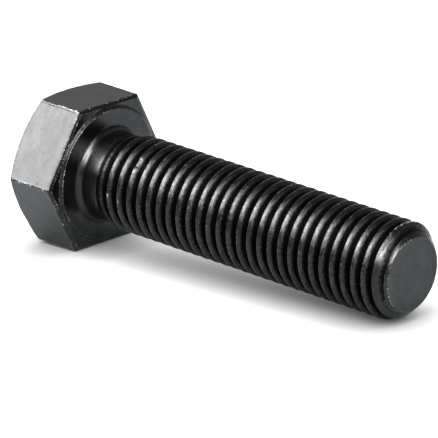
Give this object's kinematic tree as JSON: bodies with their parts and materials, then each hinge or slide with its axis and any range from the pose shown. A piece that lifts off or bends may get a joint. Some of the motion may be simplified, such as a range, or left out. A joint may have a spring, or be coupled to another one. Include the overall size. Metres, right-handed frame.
{
  "type": "hex bolt",
  "caption": "Fully threaded hex-head bolt with a washer face, an under-head fillet and a chamfered point, in a black oxide finish.",
  "frame": {"origin": "centre of the bearing face under the head, on the bolt's axis", "axes": "+X along the axis from the head to the point of the thread; +Z square to one pair of the head's flats, so the bolt is modelled lying down; +Y through a pair of the head's corners"},
  "size_m": [0.0884, 0.033, 0.0286],
  "materials": {
    "black_oxide_steel": "black oxide on forged steel, semi-gloss, worn brighter along edges and thread crests"
  },
  "bodies": {
    "root": {"hex_bolt": "black_oxide_steel"}
  },
  "joints": []
}
